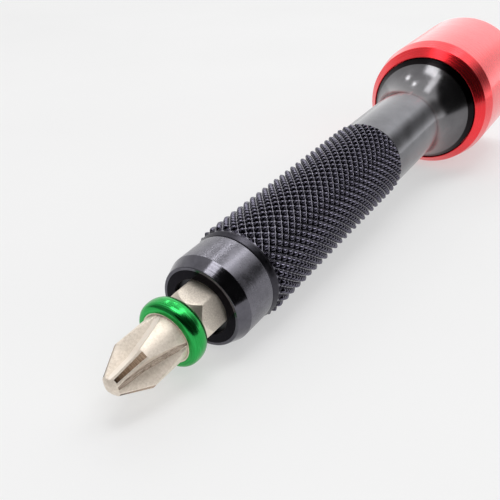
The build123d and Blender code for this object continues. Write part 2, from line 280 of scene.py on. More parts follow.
FLUTE_HALF_ANGLE = radians(46.0)
FLUTE_BOTTOM_R = 0.85
FLUTE_TIP_R = 0.66
FLUTE_TIP_SLOPE = tan(radians(4.2))
FLUTE_RAMP_X = -13.0
FLUTE_RAMP_R = 0.55
FLUTE_RAMP_SLOPE = tan(radians(17.7))
FLUTE_BEND = 0.10
FLUTE_END_X = RING_FRONT_X + 0.25
TIP_R = 0.50
RIM_X = -15.07
RIM_R = 1.27
EDGE_ROUND = 0.07
EDGE_BAND = 0.20
EDGE_SHARE = 0.8
EDGE_CLEARANCE = 0.06
BOTTOM_STEPS = 1
FLANK_STEPS = 14
EDGE_STEPS = 10
LAND_STEPS = 5
HEX_CORNER_R = 3.60
SHANK_CHAMFER = 0.5
SHOULDER_SLOPE = tan(radians(28.0))
SHOULDER_END_X = -1.6


def softer_min(a, b, blend):
    """The smaller of two radii, with the corner between them rounded off."""
    share = np.clip(0.5 + 0.5 * (b - a) / blend, 0, 1)
    return b + (a - b) * share - blend * share * (1 - share)


def flute_apex(x):
    """Radius where a flute's flanks would meet: a slow climb at the tip, then a ramp after a soft bend."""
    slow = FLUTE_TIP_R + FLUTE_TIP_SLOPE * (x - BIT_TIP_X)
    ramp = FLUTE_RAMP_R + FLUTE_RAMP_SLOPE * (x - FLUTE_RAMP_X)
    gap = ramp - slow
    return slow + (gap + sqrt(gap * gap + FLUTE_BEND ** 2)) / 2


def flute_floor(x):
    """Radius of the flat strip along a flute's bottom."""
    return flute_apex(x) + FLUTE_BOTTOM_R * (1 / sin(FLUTE_HALF_ANGLE) - 1)


def flute_crease(x):
    """Angle from a flute's middle to the crease between its bottom strip and its flank."""
    return atan2((flute_floor(x) - flute_apex(x)) * tan(FLUTE_HALF_ANGLE), flute_floor(x))


def flute_wall(x, across):
    """Radius of the flute's wall at angles from its middle: a flat bottom between two flat flanks."""
    slant = 1 / tan(FLUTE_HALF_ANGLE)
    flank = flute_apex(x) / np.maximum(np.cos(across) - np.sin(across) * slant, 1e-3)
    return np.maximum(flute_floor(x) / np.cos(across), flank)


def bit_outer(x):
    """Radius of the turned point: a blunt end, a cone and then the round shank."""
    if x < RIM_X:
        return TIP_R + (RIM_R - TIP_R) * (x - BIT_TIP_X) / (RIM_X - BIT_TIP_X)
    if x < BIT_CONE_END_X:
        return RIM_R + (BIT_R - RIM_R) * (x - RIM_X) / (BIT_CONE_END_X - RIM_X)
    return BIT_R


def wing_edge(x):
    """Angle from a flute's middle to the edge of the wing beside it."""
    angles = np.linspace(0, pi / 4, 400)
    return float(np.interp(bit_outer(x), flute_wall(x, angles), angles))


def fluted_ring(x):
    """Azimuths and radii of one ring of the point, from flute middle to flute middle, four times."""
    edge = min(max(wing_edge(x), EDGE_CLEARANCE), pi / 4 - EDGE_CLEARANCE)
    width = min(EDGE_BAND / bit_outer(x), (pi / 4 - edge) * EDGE_SHARE, edge * EDGE_SHARE)
    crease = min(flute_crease(x), (edge - width) * EDGE_SHARE)
    half = np.concatenate([
        np.linspace(0, crease, BOTTOM_STEPS + 1)[:-1],
        np.linspace(crease, edge - width, FLANK_STEPS + 1)[:-1],
        np.linspace(edge - width, edge + width, EDGE_STEPS + 1)[:-1],
        np.linspace(edge + width, pi / 4, LAND_STEPS + 1),
    ])
    across = np.concatenate([half, pi / 2 - half[-2:0:-1]])
    from_middle = np.minimum(across, pi / 2 - across)
    radii = softer_min(flute_wall(x, from_middle), bit_outer(x), EDGE_ROUND)
    first = radians(WING_AZIMUTH + 45)
    azimuths = np.concatenate([first + quarter * pi / 2 + across for quarter in range(4)])
    return azimuths, np.tile(radii, 4)


def shank_radius(x, azimuths):
    """The hexagonal shank with its turned cone behind the ring and its chamfered end."""
    side = (azimuths - radians(HEX_CORNER_AZIMUTH)) % (pi / 3) - pi / 6
    hexagon = softer_min(HEX_AF / 2 / np.cos(side), HEX_CORNER_R, 0.06)
    cone = BIT_R + max(x - BIT_SHOULDER_X, 0) * SHOULDER_SLOPE
    end = HEX_CORNER_R - max(x - (BIT_END_X - SHANK_CHAMFER), 0)
    return softer_min(hexagon, min(cone, end), 0.02)


def point_zone(x, column, columns):
    """Number of the point's finish: 0 plated, 1 ground land, 4 the first flute's bottom, streaked and
    painted dark as shade, 5 burnished flute bottoms.
    """
    quarter = columns // 4
    from_wing = abs(column % quarter + 0.5 - quarter / 2)
    if x < RIM_X:
        return 0
    if x < BIT_CONE_END_X - 0.05 and from_wing < LAND_STEPS - 1:
        return 1
    if from_wing < quarter / 2 - BOTTOM_STEPS:
        return 0
    # the first flute's bottom gets a darker finish than the others: painted shade
    in_first_flute = min(column, columns - column) <= BOTTOM_STEPS
    return 4 if in_first_flute else 5


def finish_point(piece, rows, columns, finishes):
    """Gives the faces of the bit's point, then of its shoulder and shank, their finishes."""
    for material in finishes:
        piece.data.materials.append(material)
    for number, polygon in enumerate(piece.data.polygons):
        row, column = divmod(number, columns)
        if row < len(rows):
            polygon.material_index = point_zone(rows[row], column, columns)
        elif polygon.center.x / MM > BIT_SHOULDER_X:
            polygon.material_index = 3 if polygon.normal.x < -0.3 else 2


def phillips_bit(finishes):
    """The bit in rings along X: the fluted point, then the round neck and the hexagonal shank."""
    rows = np.concatenate([
        np.linspace(BIT_TIP_X, RIM_X, 8)[:-1],
        np.linspace(RIM_X, BIT_CONE_END_X, 40)[:-1],
        np.linspace(BIT_CONE_END_X, FLUTE_END_X, 56),
    ])
    shank_rows = np.concatenate([
        np.linspace(FLUTE_END_X + 0.6, BIT_SHOULDER_X, 3),
        np.linspace(BIT_SHOULDER_X + 0.05, SHOULDER_END_X, 35),
        np.linspace(0, BIT_END_X - SHANK_CHAMFER, 6),
        np.linspace(BIT_END_X - 0.4, BIT_END_X, 4),
    ])
    rings = []
    for x in rows:
        azimuths, radii = fluted_ring(x)
        rings.append(ring_positions(x, radii, azimuths))
    columns = len(azimuths)
    even = radians(WING_AZIMUTH + 45) + np.arange(columns) * 2 * pi / columns
    for x in shank_rows:
        rings.append(ring_positions(x, shank_radius(x, even), even))
    vertices = np.concatenate(rings + [np.array([(BIT_TIP_X, 0, 0), (BIT_END_X, 0, 0)])])
    faces = [face[::-1] for face in capped_faces(len(rings), columns)]
    piece = mesh_object("phillips_bit_detail", vertices, faces)
    piece.data.set_sharp_from_angle(angle=radians(26))
    finish_point(piece, rows, columns, finishes)
    return piece


# ---------------------------------------------------------------- grip barrel with its knurl

KNURL_STARTS = 32
KNURL_PITCH = 1.53
KNURL_HALF_TURNS = 49
KNURL_START_X = KNURL_BACK_X - KNURL_HALF_TURNS * KNURL_PITCH / 2
KNURL_DEPTH = 0.50
KNURL_FLOOR = 0.13
KNURL_LEAD_IN = 0.4
KNURL_LEAD_OUT = 0.3
KNURL_ROOT_R = KNURL_R - KNURL_DEPTH
STEPS_PER_TOOTH = 10


def tooth_wall(phase):
    """0 on the groove's floor and 1 at the tooth's middle, for a phase that repeats every 1."""
    across = 1 - np.abs(2 * (phase % 1) - 1)
    climb = np.clip((across - KNURL_FLOOR) / (1 - KNURL_FLOOR), 0, 1)
    return (1 - (1 - climb) ** 2.2) ** 0.9


def gathered(phase):
    """A phase pulled towards the grooves, so that more of the mesh lies where the shape turns sharply."""
    return phase - 0.055 * np.sin(2 * pi * phase)


def knurl_radius(x, azimuths):
    """Radius of the diamond knurl: teeth left between two crossing sets of helical grooves."""
    turns = KNURL_STARTS * azimuths / (2 * pi)
    along = (x - KNURL_BACK_X) / KNURL_PITCH
    tooth = tooth_wall(turns + along) * tooth_wall(turns - along)
    lead_in = np.clip((x - KNURL_START_X) / KNURL_LEAD_IN, 0, 1)
    lead_out = np.clip((KNURL_BACK_X - x) / KNURL_LEAD_OUT, 0, 1)
    return KNURL_ROOT_R + KNURL_DEPTH * tooth * lead_in * lead_out


def knurl_ring(row, columns):
    """Points and normals of one row of the knurl's mesh, counted from its back end."""
    turns = np.arange(columns) / STEPS_PER_TOOTH
    along = -row / STEPS_PER_TOOTH
    one_hand = gathered(turns + along)
    other_hand = gathered(turns - along)
    azimuths = (one_hand + other_hand) * pi / KNURL_STARTS
    x = KNURL_BACK_X + (one_hand - other_hand) * KNURL_PITCH / 2
    step = 0.012
    turn = step / KNURL_R
    slope_x = (knurl_radius(x + step, azimuths) - knurl_radius(x - step, azimuths)) / (2 * step)
    slope_round = (knurl_radius(x, azimuths + turn) - knurl_radius(x, azimuths - turn)) / (2 * step)
    normals = np.empty((columns, 3))
    normals[:, 0] = -slope_x
    normals[:, 1] = np.cos(azimuths) + slope_round * np.sin(azimuths)
    normals[:, 2] = np.sin(azimuths) - slope_round * np.cos(azimuths)
    normals /= np.linalg.norm(normals, axis=1)[:, None]
    return ring_positions(x, knurl_radius(x, azimuths), azimuths), normals


def split_along_grooves(vertices, faces):
    """Cuts each quad into triangles along its lower diagonal, so that the grooves stay straight."""
    radii = np.hypot(vertices[:, 1], vertices[:, 2])
    triangles = []
    for a, b, c, d in faces:
        if radii[a] + radii[c] < radii[b] + radii[d]:
            triangles += [(a, b, c), (a, c, d)]
        else:
            triangles += [(a, b, d), (b, c, d)]
    return triangles


def grip_barrel():
    """The whole barrel as one closed solid: bored inside, bevelled, knurled and necked outside."""
    corners = [
        (BARREL_FRONT_X, SOCKET_BORE_R, 0.05, 1),
        (SOCKET_BORE_END_X, SOCKET_BORE_R, 0.05, 1),
        (SOCKET_BORE_END_X, CORE_BORE_R, 0.05, 1),
        (SPINDLE_BORE_X, CORE_BORE_R, 0.05, 1),
        (SPINDLE_BORE_X, SPINDLE_BORE_R, 0.05, 1),
        (BARREL_BACK_X, SPINDLE_BORE_R, 0.05, 1),
        (BARREL_BACK_X, SPIGOT_R, 0.1, 2),
        (NECK_BACK_X, SPIGOT_R, 0.05, 1),
        (NECK_BACK_X, NECK_R, 0.08, 2),
        (KNURL_BACK_X + 0.1, NECK_R, 0.03, 1),
        (KNURL_BACK_X, KNURL_ROOT_R, 0.03, 1),
        (KNURL_START_X, KNURL_ROOT_R, 0.03, 1),
        (KNURL_START_X - 0.22, KNURL_ROOT_R - 0.05, 0.08, 2),
        (KNURL_START_X - 0.32, BEVEL_BACK_R, 0.05, 2),
        (BARREL_FRONT_X + 0.12, BEVEL_FRONT_R, 0.06, 2),
        (BARREL_FRONT_X, BARREL_FACE_R, 0.05, 1),
    ]
    samples = outline_samples(corners)
    columns = KNURL_STARTS * STEPS_PER_TOOTH
    azimuths = np.linspace(0, 2 * pi, columns, endpoint=False)
    rings = []
    normals = []
    for here, there in zip(samples, samples[1:] + samples[:1]):
        rings.append(ring_positions(here[0], here[1], azimuths))
        normals.append(ring_positions(here[2], here[3], azimuths))
        is_knurl = here[0] - there[0] > 0.9 * (KNURL_BACK_X - KNURL_START_X)
        if is_knurl:
            for row in range(1, KNURL_HALF_TURNS * STEPS_PER_TOOTH // 2):
                points, directions = knurl_ring(row, columns)
                rings.append(points)
                normals.append(directions)
    vertices = np.concatenate(rings)
    faces = split_along_grooves(vertices, grid_faces(len(rings), columns, closed_rows=True))
    return mesh_object("grip_barrel_knurled", vertices, faces, np.concatenate(normals))


# ---------------------------------------------------------------- other turned pieces

def curve_points(start, start_pull, end_pull, end, count):
    """Points along a smooth curve that leaves start towards start_pull and reaches end from end_pull."""
    points = []
    for t in np.linspace(0, 1, count):
        weights = ((1 - t) ** 3, 3 * t * (1 - t) ** 2, 3 * t * t * (1 - t), t ** 3)
        around = zip(weights, (start, start_pull, end_pull, end))
        points.append(sum(weight * np.array(point) for weight, point in around))
    return points


def bit_ring():
    """A ring whose crest lies nearer its front, with a full front and a longer fall behind."""
    rise = RING_R - RING_LIP_R
    front_full = 0.75
    back_full = 0.55
    front = front_full * (RING_CREST_X - RING_FRONT_X)
    back = back_full * (RING_BACK_X - RING_CREST_X)
    crest = (RING_CREST_X, RING_R)
    behind = curve_points(
        (RING_BACK_X, RING_LIP_R),
        (RING_BACK_X, RING_LIP_R + back_full * rise),
        (RING_CREST_X + back, RING_R),
        crest,
        14,
    )
    ahead = curve_points(
        crest,
        (RING_CREST_X - front, RING_R),
        (RING_FRONT_X, RING_LIP_R + front_full * rise),
        (RING_FRONT_X, RING_LIP_R),
        14,
    )
    corners = [(RING_FRONT_X, RING_BORE_R, 0.04, 2), (RING_BACK_X, RING_BORE_R, 0.04, 2)]
    for x, r in behind + ahead[1:]:
        corners.append((float(x), float(r), 0.02, 1))
    return turned("bit_ring_turned", corners, 384)


def nose_collar():
    """The sliding collar, with a chamfered front edge."""
    return turned("nose_collar_turned", [
        (0, FACE_RING_R + SLIP, 0.02, 2),
        (RIB_FRONT_X, FACE_RING_R + SLIP, 0.05, 2),
        (RIB_FRONT_X, RIB_R, 0.05, 2),
        (RIB_BACK_X, RIB_R, 0.05, 2),
        (RIB_BACK_X, BALL_LAND_R, 0.05, 2),
        (BALL_RAMP_X, BALL_LAND_R, 0.02, 2),
        (BALL_POCKET_X, BALL_POCKET_R, 0.02, 2),
        (COLLAR_BACK_X, BALL_POCKET_R, 0.05, 2),
        (COLLAR_BACK_X, COLLAR_R, 0.12, 4),
        (COLLAR_CHAMFER_X, COLLAR_R, 0.4, 6),
        (0, COLLAR_FACE_R, 0.12, 4),
    ], 320)


def nose_face_ring():
    """The flat face round the mouth of the collar."""
    return turned("nose_face_ring_turned", [
        (0, MOUTH_R, 0.12, 4),
        (FACE_RING_X, MOUTH_R, 0.05, 2),
        (FACE_RING_X, FACE_RING_R, 0.05, 2),
        (0, FACE_RING_R, 0.02, 2),
    ], 320)


def bell_flare():
    """The bell, whose outside is one arc that leaves the neck smoothly and widens to the rim."""
    run = BELL_BACK_X - BELL_FRONT_X
    rise = BELL_R - NECK_R
    turn = 2 * atan2(rise, run)
    flare_r = run / sin(turn)
    knee_x = BELL_FRONT_X + flare_r * tan(turn / 2)
    return turned("bell_flare_turned", [
        (BELL_FRONT_X, SPIGOT_R + SLIP, 0.05, 2),
        (SPIGOT_END_X, SPIGOT_R + SLIP, 0.05, 2),
        (SPIGOT_END_X, BELL_BORE_R, 0.05, 2),
        (BELL_HUB_X, BELL_BORE_R, 0.05, 2),
        (BELL_HUB_X, BELL_BOSS_R, 0.1, 2),
        (BELL_RIM_END_X, BELL_BOSS_R, 0.05, 2),
        (BELL_RIM_END_X, BELL_R, 0.1, 2),
        (BELL_BACK_X, BELL_R, 0.12, 4),
        (knee_x, NECK_R, 0.97 * flare_r, 64),
        (BELL_FRONT_X, NECK_R, 0.03, 2),
    ], 384)


def palm_shell():
    """The knob, with a bevelled front rim and the seats of its bearings and cap inside."""
    return turned("palm_shell_turned", [
        (PALM_FRONT_X, PALM_MOUTH_R, 0.08, 3),
        (PALM_BEVEL_X, PALM_MOUTH_R, 0.05, 2),
        (PALM_BEVEL_X, BEARING_SEAT_R, 0.05, 2),
        (BEARING_STEP_FRONT_X, BEARING_SEAT_R, 0.05, 2),
        (BEARING_STEP_FRONT_X, BEARING_STEP_R, 0.05, 2),
        (BEARING_STEP_BACK_X, BEARING_STEP_R, 0.05, 2),
        (BEARING_STEP_BACK_X, BEARING_SEAT_R, 0.05, 2),
        (CAP_THREAD_X, BEARING_SEAT_R, 0.05, 2),
        (CAP_THREAD_X, CAP_THREAD_R, 0.05, 2),
        (CAP_SEAT_X, CAP_THREAD_R, 0.05, 2),
        (CAP_SEAT_X, CAP_R + 0.05, 0.05, 2),
        (PALM_BACK_X, CAP_R + 0.05, 0.08, 3),
        (PALM_BACK_X, PALM_R, 1.2, 12),
        (PALM_EDGE_X, PALM_R, 1.3, 12),
        (PALM_BEVEL_X, PALM_BEVEL_R, 0.35, 6),
        (PALM_FRONT_X, PALM_LIP_R, 0.06, 3),
    ], 384)


def collar_spring():
    """The coiled wire between the snap ring and the collar's rib, with both ends closed."""
    steps = 120
    sides = 12
    around = np.linspace(0, 2 * pi, sides, endpoint=False)
    radii = SPRING_R + SPRING_WIRE_R * np.cos(around)
    rings = []
    for share in np.linspace(0, 1, steps):
        angle = 2 * pi * SPRING_TURNS * share
        centre_x = SPRING_FRONT_X + (SPRING_BACK_X - SPRING_FRONT_X) * share
        wire = np.empty((sides, 3))
        wire[:, 0] = centre_x + SPRING_WIRE_R * np.sin(around)
        wire[:, 1] = radii * sin(angle)
        wire[:, 2] = -radii * cos(angle)
        rings.append(wire)
    last_ring = (steps - 1) * sides
    faces = grid_faces(steps, sides, closed_rows=False)
    faces.append(tuple(range(sides)))
    faces.append(tuple(range(last_ring + sides - 1, last_ring - 1, -1)))
    return mesh_object("collar_spring_coiled", np.concatenate(rings), faces)


def palm_end_cap():
    """The cap at the back: a dished face, a groove for the O-ring and a hollow skirt."""
    dish_x = PALM_BACK_X - 0.35
    flange_x = CAP_SEAT_X + SLIP
    skirt_r = 7.0
    skirt_bore_r = 5.7
    groove_r = 6.3
    groove_front_x = 92.3
    groove_back_x = 93.1
    return turned_disc("palm_end_cap_turned", [
        (dish_x, 0, 0, 1),
        (dish_x, 5.1, 0.1, 3),
        (PALM_BACK_X, 5.5, 0.1, 3),
        (PALM_BACK_X, CAP_R, 0.2, 4),
        (flange_x, CAP_R, 0.05, 2),
        (flange_x, skirt_r, 0.05, 2),
        (groove_back_x, skirt_r, 0.05, 2),
        (groove_back_x, groove_r, 0.05, 2),
        (groove_front_x, groove_r, 0.05, 2),
        (groove_front_x, skirt_r, 0.05, 2),
        (CAP_FRONT_X, skirt_r, 0.1, 2),
        (CAP_FRONT_X, skirt_bore_r, 0.05, 2),
        (CAP_SEAT_X, skirt_bore_r, 0.05, 2),
        (CAP_SEAT_X, 0, 0, 1),
    ], 256)


# ---------------------------------------------------------------- materials

def principled(name, **values):
    """A new material and its node tree, with the given values on the Principled shader's own sockets."""
    material = bpy.data.materials.new(name)
    material.use_nodes = True
    shader = material.node_tree.nodes["Principled BSDF"]
    for socket, value in values.items():
        shader.inputs[socket.replace("_", " ")].default_value = value
    return material, material.node_tree, shader


def object_position(tree):
    """The surface point in millimetres, from the object's own coordinates."""
    coordinates = tree.nodes.new("ShaderNodeTexCoord")
    scale = tree.nodes.new("ShaderNodeVectorMath")
    scale.operation = "SCALE"
    scale.inputs["Scale"].default_value = 1 / MM
    tree.links.new(coordinates.outputs["Object"], scale.inputs[0])
    return scale.outputs["Vector"]


def along_axis(tree, position, start_x, end_x):
    """A value that goes from 0 to 1 between two places along the tool's axis, given in millimetres."""
    split = tree.nodes.new("ShaderNodeSeparateXYZ")
    tree.links.new(position, split.inputs["Vector"])
    scaled = tree.nodes.new("ShaderNodeMapRange")
    scaled.inputs["From Min"].default_value = start_x
    scaled.inputs["From Max"].default_value = end_x
    tree.links.new(split.outputs["X"], scaled.inputs["Value"])
    return scaled.outputs["Result"]


def stretched(tree, position, factors):
    """The position multiplied axis by axis, which stretches a texture along the small factors."""
    stretch = tree.nodes.new("ShaderNodeVectorMath")
    stretch.operation = "MULTIPLY"
    stretch.inputs[1].default_value = factors
    tree.links.new(position, stretch.inputs[0])
    return stretch.outputs["Vector"]


def noise(tree, position, scale, detail=3.0, roughness=0.5):
    """A noise texture's value over a position, where scale is its features per millimetre."""
    texture = tree.nodes.new("ShaderNodeTexNoise")
    texture.inputs["Scale"].default_value = scale
    texture.inputs["Detail"].default_value = detail
    texture.inputs["Roughness"].default_value = roughness
    tree.links.new(position, texture.inputs["Vector"])
    return texture.outputs["Fac"]


def ramp(tree, value, stops):
    """A colour ramp over a value, where stops are (position, colour)."""
    node = tree.nodes.new("ShaderNodeValToRGB")
    elements = node.color_ramp.elements
    while len(elements) < len(stops):
        elements.new(0.5)
    for element, (position, colour) in zip(elements, stops):
        element.position = position
        element.color = colour
    tree.links.new(value, node.inputs["Fac"])
    return node.outputs["Color"]


def spread(tree, value, low, high):
    """A noise value's usual range, 0.3 to 0.7, spread linearly from low to high."""
    node = tree.nodes.new("ShaderNodeMapRange")
    node.inputs["From Min"].default_value = 0.3
    node.inputs["From Max"].default_value = 0.7
    node.inputs["To Min"].default_value = low
    node.inputs["To Max"].default_value = high
    tree.links.new(value, node.inputs["Value"])
    return node.outputs["Result"]


def multiplied(tree, one, other):
    """The product of two colours."""
    node = tree.nodes.new("ShaderNodeMix")
    node.data_type = "RGBA"
    node.blend_type = "MULTIPLY"
    node.inputs["Factor"].default_value = 1.0
    tree.links.new(one, node.inputs[6])
    tree.links.new(other, node.inputs[7])
    return node.outputs[2]


def bump(tree, shader, height, distance, strength):
    """Relief on a shader's normal, with its distance in metres."""
    node = tree.nodes.new("ShaderNodeBump")
    node.inputs["Strength"].default_value = strength
    node.inputs["Distance"].default_value = distance
    tree.links.new(height, node.inputs["Height"])
    tree.links.new(node.outputs["Normal"], shader.inputs["Normal"])


def grey(value):
    """An even grey as a colour."""
    return (value, value, value, 1)


def turning_marks(tree, position, density, wander):
    """Fine lines around the axis: noise over x and radius that drifts a little with the azimuth."""
    split = tree.nodes.new("ShaderNodeSeparateXYZ")
    tree.links.new(position, split.inputs[0])
    around = tree.nodes.new("ShaderNodeVectorMath")
    around.operation = "LENGTH"
    across = stretched(tree, position, (0, 1, 1))
    tree.links.new(across, around.inputs[0])
    join = tree.nodes.new("ShaderNodeCombineXYZ")
    tree.links.new(split.outputs["X"], join.inputs["X"])
    tree.links.new(around.outputs["Value"], join.inputs["Y"])
    drift = stretched(tree, position, (0, wander, wander))
    total = tree.nodes.new("ShaderNodeVectorMath")
    total.operation = "ADD"
    lines = stretched(tree, join.outputs["Vector"], (density, density, 0))
    tree.links.new(lines, total.inputs[0])
    tree.links.new(drift, total.inputs[1])
    return noise(tree, total.outputs["Vector"], 1.0, detail=4.0, roughness=0.6)


def satin_nickel():
    """Blasted and plated steel: soft, warm and slightly grainy."""
    material, tree, shader = principled("bit_satin_nickel", Metallic=0.52, Specular_IOR_Level=0.6)
    position = object_position(tree)
    cloud = noise(tree, position, 3.5, 5.0, 0.7)
    tone = ramp(tree, cloud, [(0.3, (0.74, 0.64, 0.53, 1)), (0.7, (0.99, 0.89, 0.78, 1))])
    tree.links.new(tone, shader.inputs["Base Color"])
    grain = noise(tree, position, 9.0, 3.0, 0.7)
    tree.links.new(spread(tree, grain, 0.34, 0.48), shader.inputs["Roughness"])
    bump(tree, shader, grain, 0.04 * MM, 0.9)
    return material


def shank_nickel():
    """The shank's duller and coarser plating."""
    material, tree, shader = principled("shank_dull_nickel", Metallic=0.60)
    position = object_position(tree)
    grain = noise(tree, position, 6.0, 4.0, 0.75)
    tone = ramp(tree, grain, [(0.3, (0.60, 0.52, 0.44, 1)), (0.7, (0.98, 0.90, 0.80, 1))])
    tree.links.new(tone, shader.inputs["Base Color"])
    tree.links.new(spread(tree, grain, 0.42, 0.60), shader.inputs["Roughness"])
    bump(tree, shader, grain, 0.04 * MM, 0.8)
    return material


def shoulder_nickel():
    """The turned cone behind the ring, shinier than the flats."""
    material, tree, shader = principled("shoulder_nickel", Metallic=0.90)
    position = object_position(tree)
    grain = noise(tree, position, 5.0, 4.0, 0.7)
    tone = ramp(tree, grain, [(0.3, (0.74, 0.65, 0.55, 1)), (0.7, (0.88, 0.79, 0.69, 1))])
    tree.links.new(tone, shader.inputs["Base Color"])
    tree.links.new(spread(tree, grain, 0.28, 0.36), shader.inputs["Roughness"])
    bump(tree, shader, grain, 0.005 * MM, 0.3)
    return material


def bright_nickel():
    """The bottoms of the flutes, burnished by the cutter."""
    material, tree, shader = principled("flute_bright_nickel", Metallic=0.40)
    position = object_position(tree)
    lines = noise(tree, stretched(tree, position, (0.5, 6.0, 6.0)), 1.0, 3.0, 0.6)
    tone = ramp(tree, lines, [(0.3, (0.98, 0.86, 0.75, 1)), (0.7, (1.0, 0.93, 0.84, 1))])
    tree.links.new(tone, shader.inputs["Base Color"])
    tree.links.new(spread(tree, lines, 0.28, 0.38), shader.inputs["Roughness"])
    return material


def streaked_shaded_nickel():
    """Plating with streaks along a flute's bottom, painted dark as shade."""
    material, tree, shader = principled("flute_streaked_shaded_nickel", Metallic=0.80)
    position = object_position(tree)
    streaks = noise(tree, stretched(tree, position, (0.5, 7.0, 7.0)), 1.0, 3.0, 0.6)
    # painted shade: far darker tones than the other flute bottoms
    tone = ramp(tree, streaks, [(0.35, (0.22, 0.165, 0.13, 1)), (0.65, (0.60, 0.50, 0.41, 1))])
    tree.links.new(tone, shader.inputs["Base Color"])
    tree.links.new(spread(tree, streaks, 0.36, 0.50), shader.inputs["Roughness"])
    return material


def ground_steel():
    """The ground faces of the point, crossed by the grinding wheel's lines, with painted shade that darkens
    them towards the tip.
    """
    material, tree, shader = principled("bit_ground_steel", Metallic=0.50)
    position = object_position(tree)
    lines = noise(tree, stretched(tree, position, (16.0, 0.8, 0.8)), 1.0, 4.0, 0.7)
    tone = ramp(tree, lines, [(0.35, (0.40, 0.30, 0.21, 1)), (0.65, (0.98, 0.80, 0.63, 1))])
    # painted shade: the ground faces go from near black at the rim to lighter at the cone's end
    along = along_axis(tree, position, RIM_X, BIT_CONE_END_X)
    painted_shade_to_tip = ramp(tree, along, [
        (0.0, (0.07, 0.05, 0.035, 1)),
        (0.35, (0.46, 0.37, 0.30, 1)),
        (1.0, (0.74, 0.66, 0.60, 1)),
    ])
    tree.links.new(multiplied(tree, tone, painted_shade_to_tip), shader.inputs["Base Color"])
    tree.links.new(spread(tree, lines, 0.36, 0.50), shader.inputs["Roughness"])
    bump(tree, shader, lines, 0.03 * MM, 0.8)
    return material


def green_anodised():
    """Glossy green with fine turning marks."""
    material, tree, shader = principled("ring_green_anodised", Metallic=1.0)
    position = object_position(tree)
    marks = turning_marks(tree, position, 7.0, 0.35)
    tone = ramp(tree, marks, [(0.3, (0.016, 0.30, 0.050, 1)), (0.7, (0.040, 0.48, 0.110, 1))])
    tree.links.new(tone, shader.inputs["Base Color"])
    tree.links.new(spread(tree, marks, 0.13, 0.30), shader.inputs["Roughness"])
    bump(tree, shader, marks, 0.02 * MM, 0.45)
    return material


def black_anodised(name, tone, roughness, cloud_scale, marks_strength):
    """Black anodised metal: dark tone and roughness that vary in clouds, and faint turning marks."""
    material, tree, shader = principled(name, Metallic=1.0)
    position = object_position(tree)
    cloud = noise(tree, position, cloud_scale, 5.0, 0.65)
    dark = tuple(0.8 * value for value in tone) + (1,)
    light = tuple(1.2 * value for value in tone) + (1,)
    tree.links.new(ramp(tree, cloud, [(0.3, dark), (0.7, light)]), shader.inputs["Base Color"])
    tree.links.new(spread(tree, cloud, roughness * 0.75, roughness * 1.25), shader.inputs["Roughness"])
    marks = turning_marks(tree, position, 6.0, 0.25)
    bump(tree, shader, marks, 0.02 * MM, marks_strength)
    return material


def red_anodised():
    """Bright red under a clear gloss, with fine turning marks."""
    material, tree, shader = principled("palm_red_anodised", Metallic=1.0)
    shader.inputs["Coat Weight"].default_value = 0.50
    shader.inputs["Coat Roughness"].default_value = 0.10
    position = object_position(tree)
    cloud = noise(tree, position, 0.3, 4.0)
    tone = ramp(tree, cloud, [(0.3, (0.88, 0.022, 0.032, 1)), (0.7, (0.97, 0.034, 0.046, 1))])
    tree.links.new(tone, shader.inputs["Base Color"])
    marks = turning_marks(tree, position, 6.0, 0.2)
    tree.links.new(spread(tree, marks, 0.22, 0.34), shader.inputs["Roughness"])
    bump(tree, shader, marks, 0.02 * MM, 0.2)
    return material


def plain_metal(name, tone, roughness):
    """Metal of the pieces inside, with fine grain and light wear."""
    material, tree, shader = principled(name, Metallic=1.0)
    position = object_position(tree)
    grain = noise(tree, position, 3.0, 4.0, 0.6)
    dark = tuple(0.85 * value for value in tone) + (1,)
    light = tuple(min(1.1 * value, 1) for value in tone) + (1,)
    tree.links.new(ramp(tree, grain, [(0.3, dark), (0.7, light)]), shader.inputs["Base Color"])
    tree.links.new(spread(tree, grain, roughness * 0.8, roughness * 1.2), shader.inputs["Roughness"])
    bump(tree, shader, turning_marks(tree, position, 6.0, 0.2), 0.01 * MM, 0.4)
    return material


def black_rubber():
    """The O-ring's matt rubber."""
    material, tree, shader = principled("seal_rubber", Metallic=0.0, Roughness=0.6)
    position = object_position(tree)
    grain = noise(tree, position, 6.0, 3.0)
    tree.links.new(ramp(tree, grain, [(0.3, grey(0.012)), (0.7, grey(0.025))]), shader.inputs["Base Color"])
    bump(tree, shader, grain, 0.01 * MM, 0.5)
    return material


def pale_paper():
    """The floor: plain matt white paper, faintly lit from behind so that shadows on it stay light."""
    material, tree, shader = principled("floor_paper", Metallic=0.0, Roughness=0.9, Specular_IOR_Level=0.2)
    shader.inputs["Emission Color"].default_value = (1, 1, 1, 1)
    shader.inputs["Emission Strength"].default_value = 0.50
    position = object_position(tree)
    grain = noise(tree, position, 0.02, 2.0)
    tree.links.new(ramp(tree, grain, [(0.3, grey(0.37)), (0.7, grey(0.385))]), shader.inputs["Base Color"])
    return material


def pale_backdrop():
    """An even pale glow, as bright as the lit floor."""
    material, _, shader = principled("backdrop_glow", Roughness=1.0, Specular_IOR_Level=0.0)
    shader.inputs["Base Color"].default_value = (0, 0, 0, 1)
    shader.inputs["Emission Color"].default_value = (1, 1, 1, 1)
    shader.inputs["Emission Strength"].default_value = 0.86
    return material


# ---------------------------------------------------------------- pieces on their bodies

def stand_for(piece, body, slot, *nodes):
    """Puts a detailed piece on a body in place of CAD nodes."""
    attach(piece, body)
    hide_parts(*nodes)


PLATED_HEIGHT = 0.06
PLATED_LENGTH = 0.4
# the band at the bell's rim is painted near black as shade
BELL_RIM_WIDTH = 0.80
# heights on the knurl's teeth, from 0 at the groove's floor to 1 at the top; the groove walls below the
# wall height are painted darker as shade and the floors below the floor height lighter as a highlight
GROOVE_FLOOR_HEIGHT = 0.05
GROOVE_WALL_HEIGHT = 0.52


